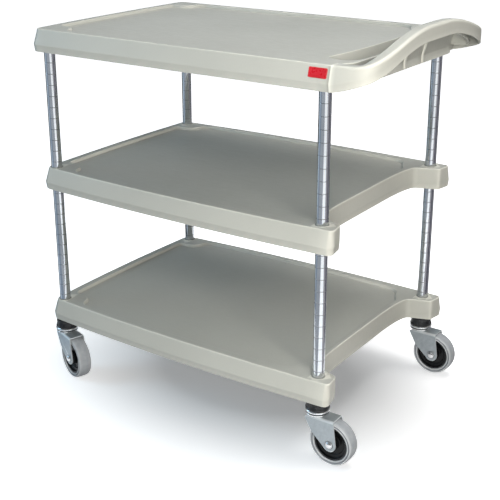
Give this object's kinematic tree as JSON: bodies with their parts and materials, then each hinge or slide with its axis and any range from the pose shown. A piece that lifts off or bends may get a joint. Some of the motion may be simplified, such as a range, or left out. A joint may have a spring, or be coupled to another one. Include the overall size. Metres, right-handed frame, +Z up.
{
  "type": "food service trolley",
  "caption": "Food service trolley: moulded polymer shelves with flared rims on grooved chrome tube posts, arched push handle with tray pocket, swivel casters.",
  "frame": {"origin": "on the floor, under the middle of the trolley's outer box", "axes": "+X towards the handle end, +Y across to the far long side, +Z up"},
  "size_m": [0.8648, 0.5816, 0.891],
  "materials": {
    "shelf_polymer": "warm light grey moulded polymer, fine satin texture",
    "plate_red": "blank red plate, semi-gloss, no marking",
    "post_chrome": "bright chrome plating with ring grooves",
    "sleeve_plastic": "grey moulded split sleeve",
    "zinc_plate": "bright zinc-plated pressed steel",
    "bright_fastener": "polished zinc-plated fastener",
    "cup_black": "black, semi-gloss",
    "core_black": "black moulded wheel core",
    "tyre_grey": "non-marking grey rubber tread"
  },
  "bodies": {
    "root": {"bottom_shelf": "shelf_polymer", "middle_shelf": "shelf_polymer", "top_shelf_and_handle": "shelf_polymer", "blank_plate": "plate_red", "post_front_left": "post_chrome", "sleeve_bottom_front_left": "sleeve_plastic", "sleeve_middle_front_left": "sleeve_plastic", "sleeve_top_front_left": "sleeve_plastic", "caster_stem_front_left": "zinc_plate", "bearing_cup_front_left": "cup_black", "upper_race_front_left": "zinc_plate", "ball_ring_front_left": "zinc_plate", "post_back_left": "post_chrome", "sleeve_bottom_back_left": "sleeve_plastic", "sleeve_middle_back_left": "sleeve_plastic", "sleeve_top_back_left": "sleeve_plastic", "caster_stem_back_left": "zinc_plate", "bearing_cup_back_left": "cup_black", "upper_race_back_left": "zinc_plate", "ball_ring_back_left": "zinc_plate", "post_front_right": "post_chrome", "sleeve_bottom_front_right": "sleeve_plastic", "sleeve_middle_front_right": "sleeve_plastic", "sleeve_top_front_right": "sleeve_plastic", "caster_stem_front_right": "zinc_plate", "bearing_cup_front_right": "cup_black", "upper_race_front_right": "zinc_plate", "ball_ring_front_right": "zinc_plate", "post_back_right": "post_chrome", "sleeve_bottom_back_right": "sleeve_plastic", "sleeve_middle_back_right": "sleeve_plastic", "sleeve_top_back_right": "sleeve_plastic", "caster_stem_back_right": "zinc_plate", "bearing_cup_back_right": "cup_black", "upper_race_back_right": "zinc_plate", "ball_ring_back_right": "zinc_plate"},
    "swivel_front_left": {"fork_front_left": "zinc_plate", "axle_bolt_front_left": "bright_fastener", "axle_nut_front_left": "bright_fastener", "axle_bush_front_left": "zinc_plate"},
    "wheel_front_left": {"wheel_core_front_left": "core_black", "tyre_front_left": "tyre_grey"},
    "swivel_back_left": {"fork_back_left": "zinc_plate", "axle_bolt_back_left": "bright_fastener", "axle_nut_back_left": "bright_fastener", "axle_bush_back_left": "zinc_plate"},
    "wheel_back_left": {"wheel_core_back_left": "core_black", "tyre_back_left": "tyre_grey"},
    "swivel_front_right": {"fork_front_right": "zinc_plate", "axle_bolt_front_right": "bright_fastener", "axle_nut_front_right": "bright_fastener", "axle_bush_front_right": "zinc_plate"},
    "wheel_front_right": {"wheel_core_front_right": "core_black", "tyre_front_right": "tyre_grey"},
    "swivel_back_right": {"fork_back_right": "zinc_plate", "axle_bolt_back_right": "bright_fastener", "axle_nut_back_right": "bright_fastener", "axle_bush_back_right": "zinc_plate"},
    "wheel_back_right": {"wheel_core_back_right": "core_black", "tyre_back_right": "tyre_grey"}
  },
  "joints": [
    {"name": "caster_swivel_front_left", "type": "hinge", "parent": "root", "child": "swivel_front_left", "pos_m": [-0.39143, -0.2475, 0.108], "axis": [0, 0, 1], "continuous": true},
    {"name": "wheel_spin_front_left", "type": "hinge", "parent": "swivel_front_left", "child": "wheel_front_left", "pos_m": [-0.35384, -0.26118, 0.05], "axis": [0.342, 0.9397, 0], "continuous": true},
    {"name": "caster_swivel_back_left", "type": "hinge", "parent": "root", "child": "swivel_back_left", "pos_m": [-0.39143, 0.2475, 0.108], "axis": [0, 0, 1], "continuous": true},
    {"name": "wheel_spin_back_left", "type": "hinge", "parent": "swivel_back_left", "child": "wheel_back_left", "pos_m": [-0.35384, 0.26118, 0.05], "axis": [-0.342, 0.9397, 0], "continuous": true},
    {"name": "caster_swivel_front_right", "type": "hinge", "parent": "root", "child": "swivel_front_right", "pos_m": [0.31657, -0.2475, 0.108], "axis": [0, 0, 1], "continuous": true},
    {"name": "wheel_spin_front_right", "type": "hinge", "parent": "swivel_front_right", "child": "wheel_front_right", "pos_m": [0.35657, -0.2475, 0.05], "axis": [0, 1, 0], "continuous": true},
    {"name": "caster_swivel_back_right", "type": "hinge", "parent": "root", "child": "swivel_back_right", "pos_m": [0.31657, 0.2475, 0.108], "axis": [0, 0, 1], "continuous": true},
    {"name": "wheel_spin_back_right", "type": "hinge", "parent": "swivel_back_right", "child": "wheel_back_right", "pos_m": [0.35657, 0.2475, 0.05], "axis": [0, 1, 0], "continuous": true}
  ]
}
